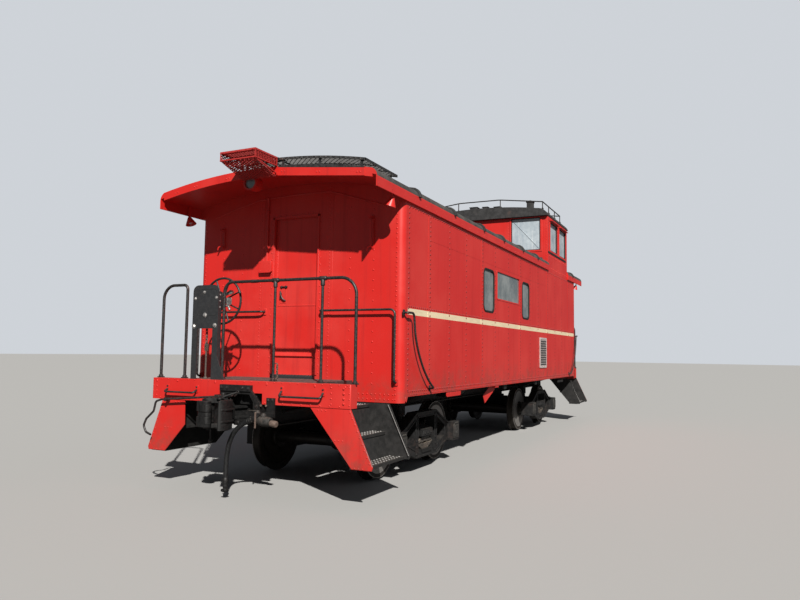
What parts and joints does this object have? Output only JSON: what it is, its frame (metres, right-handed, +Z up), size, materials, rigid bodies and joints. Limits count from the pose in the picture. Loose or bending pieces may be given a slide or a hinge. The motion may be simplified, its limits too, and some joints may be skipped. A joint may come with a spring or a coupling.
{
  "type": "caboose",
  "caption": "Steel railway caboose with a cupola, hollow cabin, end platforms, steps, hand brake, hinged doors, knuckle couplers and swivelling trucks with turning wheels.",
  "frame": {"origin": "middle of the car, at the lowest point of the wheel flanges", "axes": "+X along the car towards the end nearer the cupola, +Y across it, +Z up; the pictured end is at -X and the pictured side at -Y"},
  "size_m": [12.1674, 3.17, 4.834],
  "materials": {
    "body_red": "semi-gloss enamel, a little faded",
    "roof_black": "matt, weathered",
    "gear_black": "matt black, dusty and rusty",
    "wheel_steel": "rusty, bright on the treads",
    "rail_black": "worn black paint",
    "brake_grey": "dark grey paint, chipped",
    "deck_steel": "worn tread plate",
    "floor_wood": "worn boards",
    "window_glass": "dusty",
    "cupola_sheet": "milky weathered sheet",
    "vent_metal": "dull",
    "lamp_metal": "satin",
    "hose_rubber": "dusty",
    "hose_iron": "rusty"
  },
  "bodies": {
    "body": {"air_reservoirs": "gear_black", "angle_cocks": "hose_iron", "brake_hose": "hose_rubber", "brake_stands": "brake_grey", "brake_wheels": "rail_black", "cabin_floor": "floor_wood", "centre_plates": "gear_black", "centre_sill": "gear_black", "couplers": "hose_iron", "cross_bearers": "gear_black", "cupola_ends": "body_red", "cupola_railing": "rail_black", "cupola_roof": "roof_black", "cupola_sides": "body_red", "cupola_windows": "cupola_sheet", "end_beams": "body_red", "end_handrails": "rail_black", "end_lamps": "lamp_metal", "end_railings": "rail_black", "end_wall_a": "body_red", "end_wall_b": "body_red", "glad_hand": "hose_iron", "platforms": "deck_steel", "roof": "roof_black", "roof_steps": "body_red", "roof_walks": "roof_black", "side_bearings": "gear_black", "side_handrails": "body_red", "side_sills": "gear_black", "side_wall_left": "body_red", "side_wall_right": "body_red", "side_windows": "window_glass", "sill_cover_plate": "gear_black", "steps": "body_red", "striking_castings": "gear_black", "uncoupling_levers": "rail_black", "vent_louvres": "vent_metal"},
    "door_b": {"end_door_b": "body_red"},
    "door_a": {"end_door_a": "body_red"},
    "coupler_knuckle_b": {"knuckle_b": "hose_iron"},
    "coupler_knuckle_a": {"knuckle_a": "hose_iron"},
    "truck_b": {"truck_side_frames_b": "gear_black", "truck_bolster_b": "gear_black", "truck_springs_b": "gear_black", "brake_beams_b": "gear_black"},
    "wheelset_b_outer": {"wheelset_b_outer": "wheel_steel"},
    "wheelset_b_inner": {"wheelset_b_inner": "wheel_steel"},
    "truck_a": {"truck_side_frames_a": "gear_black", "truck_bolster_a": "gear_black", "truck_springs_a": "gear_black", "brake_beams_a": "gear_black"},
    "wheelset_a_outer": {"wheelset_a_outer": "wheel_steel"},
    "wheelset_a_inner": {"wheelset_a_inner": "wheel_steel"}
  },
  "joints": [
    {"name": "door_b_hinge", "type": "hinge", "parent": "body", "child": "door_b", "pos_m": [-4.66, -0.34, 2.238], "axis": [0, 0, -1], "range_deg": [0, 90]},
    {"name": "knuckle_b_pin", "type": "hinge", "parent": "body", "child": "coupler_knuckle_b", "pos_m": [-5.85962, 0.28031, 0.901], "axis": [0, 0, -1], "range_deg": [0, 35]},
    {"name": "truck_b_swivel", "type": "hinge", "parent": "body", "child": "truck_b", "pos_m": [-3.12, 0, 0.679], "axis": [0, 0, 1], "range_deg": [-6, 6]},
    {"name": "wheelset_b_outer_axle", "type": "hinge", "parent": "truck_b", "child": "wheelset_b_outer", "pos_m": [-4.01, 0, 0.444], "axis": [0, 1, 0], "continuous": true},
    {"name": "wheelset_b_inner_axle", "type": "hinge", "parent": "truck_b", "child": "wheelset_b_inner", "pos_m": [-2.23, 0, 0.444], "axis": [0, 1, 0], "continuous": true},
    {"name": "door_a_hinge", "type": "hinge", "parent": "body", "child": "door_a", "pos_m": [4.66, 0.34, 2.238], "axis": [0, 0, -1], "range_deg": [0, 90]},
    {"name": "knuckle_a_pin", "type": "hinge", "parent": "body", "child": "coupler_knuckle_a", "pos_m": [5.85962, -0.28031, 0.901], "axis": [0, 0, -1], "range_deg": [0, 35]},
    {"name": "truck_a_swivel", "type": "hinge", "parent": "body", "child": "truck_a", "pos_m": [3.12, 0, 0.679], "axis": [0, 0, 1], "range_deg": [-6, 6]},
    {"name": "wheelset_a_outer_axle", "type": "hinge", "parent": "truck_a", "child": "wheelset_a_outer", "pos_m": [4.01, 0, 0.444], "axis": [0, 1, 0], "continuous": true},
    {"name": "wheelset_a_inner_axle", "type": "hinge", "parent": "truck_a", "child": "wheelset_a_inner", "pos_m": [2.23, 0, 0.444], "axis": [0, 1, 0], "continuous": true}
  ]
}
